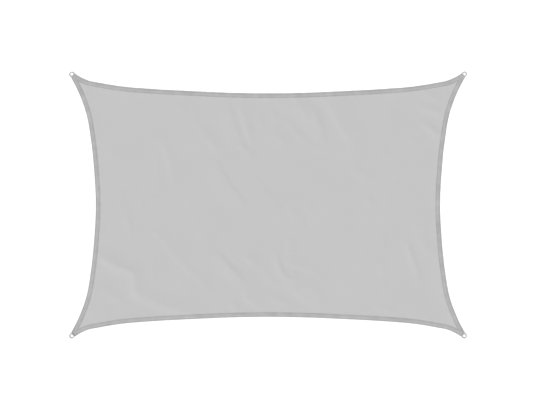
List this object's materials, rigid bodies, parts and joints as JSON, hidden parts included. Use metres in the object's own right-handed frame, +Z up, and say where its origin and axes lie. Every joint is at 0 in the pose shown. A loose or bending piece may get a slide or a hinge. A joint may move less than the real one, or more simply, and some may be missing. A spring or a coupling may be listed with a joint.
{
  "type": "shade sail",
  "caption": "Rectangular shade sail of grey woven polyester with hollow, double-stitched hems and a steel D-ring held in the turned tip of each corner, laid flat.",
  "frame": {"origin": "on the surface that the sail lies on, under the middle of the cloth", "axes": "+X along the long edges, to the right as pictured; +Y along the short edges, up the picture; +Z up off the surface, out of the sail's face"},
  "size_m": [3.0378, 2.0378, 0.009],
  "materials": {
    "cloth": "light grey woven polyester, matt, coated on the back",
    "steel": "polished stainless steel wire"
  },
  "bodies": {
    "root": {"sail": "cloth", "ring_back_left": "steel", "ring_back_right": "steel", "ring_front_left": "steel", "ring_front_right": "steel"}
  },
  "joints": []
}
